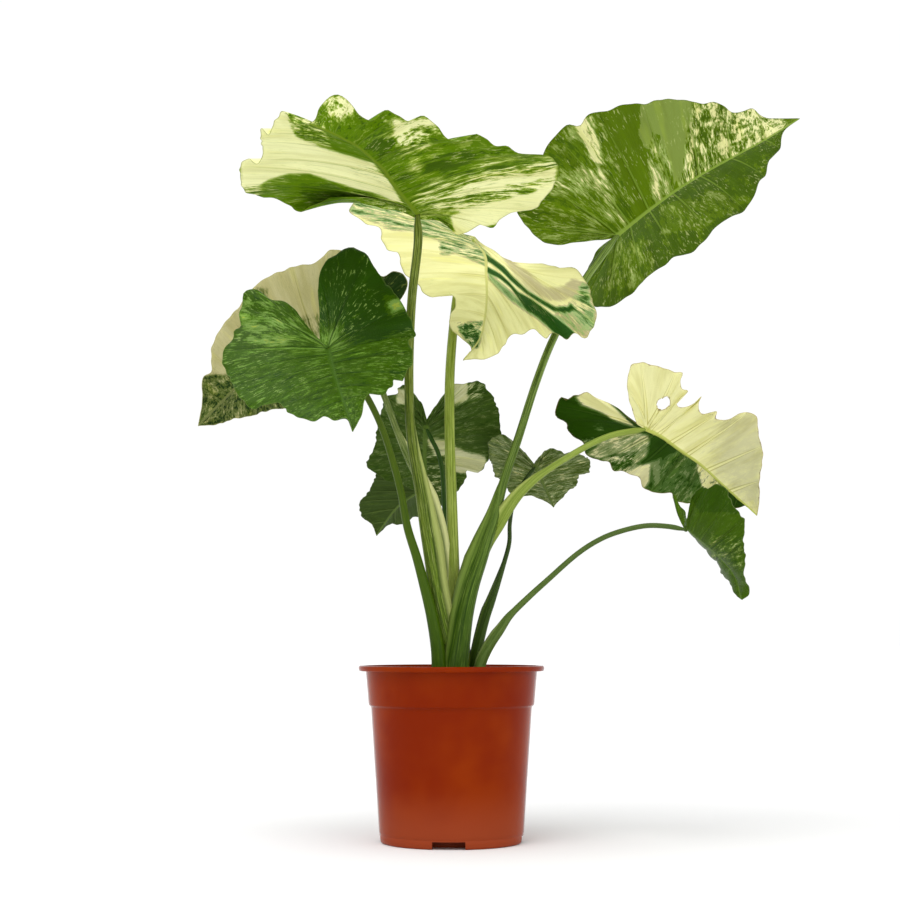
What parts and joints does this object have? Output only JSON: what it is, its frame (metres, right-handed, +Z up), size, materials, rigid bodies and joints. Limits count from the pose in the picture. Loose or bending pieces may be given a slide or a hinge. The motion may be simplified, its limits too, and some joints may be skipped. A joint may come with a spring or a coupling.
{
  "type": "potted variegated alocasia",
  "caption": "Variegated alocasia plant: arrow-shaped wavy leaves in cream and green on long upright stalks, rooted in dark compost in a round glossy terracotta-brown grower's pot.",
  "frame": {"origin": "centre of the pot's flat underside, on the table", "axes": "+Z up along the pot's axis, +Y away from the viewer in the picture, +X to the viewer's right"},
  "size_m": [0.7233, 0.5457, 0.8598],
  "materials": {
    "pot": "gloss",
    "soil": "matte",
    "stalk": "satin",
    "leaf_green": "satin",
    "leaf_dark_green": "satin",
    "leaf_cream": "satin"
  },
  "bodies": {
    "root": {"pot": "pot", "soil": "soil", "stalk_upper_left": "stalk", "blade_upper_left": "leaf_green", "stalk_upper_right": "stalk", "blade_upper_right": "leaf_green", "stalk_middle_cream": "stalk", "blade_middle_cream": "leaf_cream", "stalk_right_cream": "stalk", "blade_right_cream": "leaf_cream", "stalk_right_drooping": "stalk", "blade_right_drooping": "leaf_green", "stalk_back_right": "stalk", "blade_back_right": "leaf_dark_green", "stalk_front_left": "stalk", "blade_front_left": "leaf_green", "stalk_far_left": "stalk", "blade_far_left": "leaf_cream", "stalk_back_middle": "stalk", "blade_back_middle": "leaf_dark_green", "stalk_back_left": "stalk", "blade_back_left": "leaf_dark_green"}
  },
  "joints": []
}
